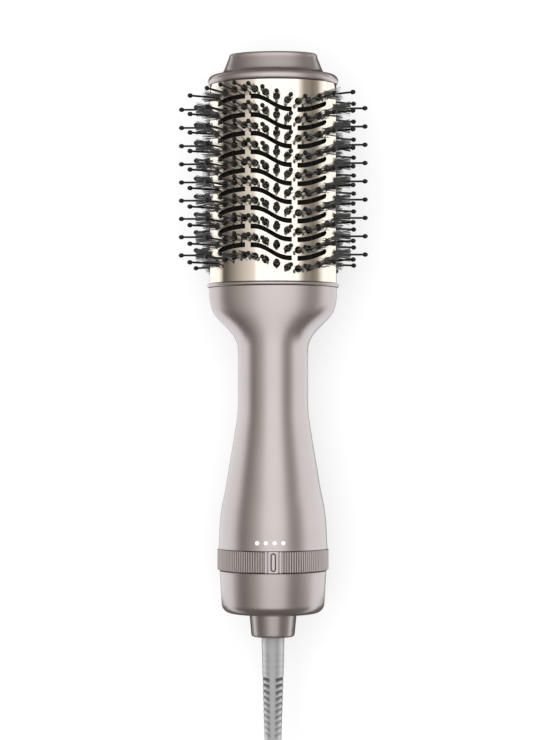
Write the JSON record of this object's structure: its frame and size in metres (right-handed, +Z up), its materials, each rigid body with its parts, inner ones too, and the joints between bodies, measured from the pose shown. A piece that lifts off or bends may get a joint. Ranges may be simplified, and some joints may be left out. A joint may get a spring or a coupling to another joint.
{
  "type": "hot air brush",
  "caption": "Hot air styling brush: oval vented barrel with ball-tipped bristles, flared handle, turning dial ring, swivelling strain relief and a mains cord put away in a coil.",
  "frame": {"origin": "on the surface that the brush lies on, under the middle of the tool from its cap to the end of its strain relief", "axes": "+Y along the tool towards the tip cap, +Z up from the surface through the face with the dots, +X to the right with the tip away from the viewer"},
  "size_m": [0.1112, 0.6303, 0.081],
  "materials": {
    "rose_taupe": "satin metallic paint, rose taupe",
    "champagne_metal": "polished, champagne",
    "black_nylon": "satin black nylon",
    "black_plastic": "moulded black",
    "steel": "plain",
    "brass": "bright",
    "mica": "pressed mica sheet",
    "heating_alloy": "oxidised resistance wire",
    "white_plastic": "milky white",
    "board_green": "solder-masked board",
    "grey_mesh": "woven filter mesh",
    "grey_rubber": "soft moulded grey"
  },
  "bodies": {
    "handle": {"air_duct": "black_plastic", "barrel_seat": "rose_taupe", "barrel_sleeve": "champagne_metal", "base_cap": "rose_taupe", "bristle_frame": "black_plastic", "bristle_strip_back_1": "black_nylon", "bristle_strip_back_2": "black_nylon", "bristle_strip_back_3": "black_nylon", "bristle_strip_back_4": "black_nylon", "bristle_strip_back_5": "black_nylon", "bristle_strip_back_6": "black_nylon", "bristle_strip_front_1": "black_nylon", "bristle_strip_front_2": "black_nylon", "bristle_strip_front_3": "black_nylon", "bristle_strip_front_4": "black_nylon", "bristle_strip_front_5": "black_nylon", "bristle_strip_front_6": "black_nylon", "bristle_strip_left": "black_nylon", "bristle_strip_right": "black_nylon", "circuit_board": "board_green", "collar_clip": "steel", "cord_coil": "grey_rubber", "cord_collar": "rose_taupe", "cord_lead": "grey_rubber", "cord_tail": "grey_rubber", "dial_track": "black_plastic", "fan_shroud": "black_plastic", "handle_back_shell": "rose_taupe", "handle_front_shell": "rose_taupe", "heater_frame": "mica", "heating_wire": "heating_alloy", "intake_filter": "grey_mesh", "light_guide": "white_plastic", "motor": "steel", "plug_blade_left": "brass", "plug_blade_right": "brass", "plug_body": "grey_rubber", "seat_screw_left": "steel", "seat_screw_right": "steel", "switch_body": "black_plastic", "thermal_cutout": "steel", "tip_cap": "rose_taupe", "tip_plate": "black_plastic"},
    "dial": {"dial_ring": "rose_taupe", "dial_wiper": "brass"},
    "fan": {"fan_wheel": "black_plastic", "motor_shaft": "steel"},
    "cord_swivel": {"strain_relief": "grey_rubber", "swivel_bush": "black_plastic"}
  },
  "joints": [
    {"name": "dial_turn", "type": "hinge", "parent": "handle", "child": "dial", "pos_m": [0, -0.0953, 0.04025], "axis": [0, 1, 0], "range_deg": [-18.4, 9.2]},
    {"name": "fan_spin", "type": "hinge", "parent": "handle", "child": "fan", "pos_m": [0, -0.0724, 0.04025], "axis": [0, 1, 0], "continuous": true},
    {"name": "relief_swivel", "type": "hinge", "parent": "handle", "child": "cord_swivel", "pos_m": [0, -0.1403, 0.04025], "axis": [0, 1, 0], "continuous": true}
  ]
}
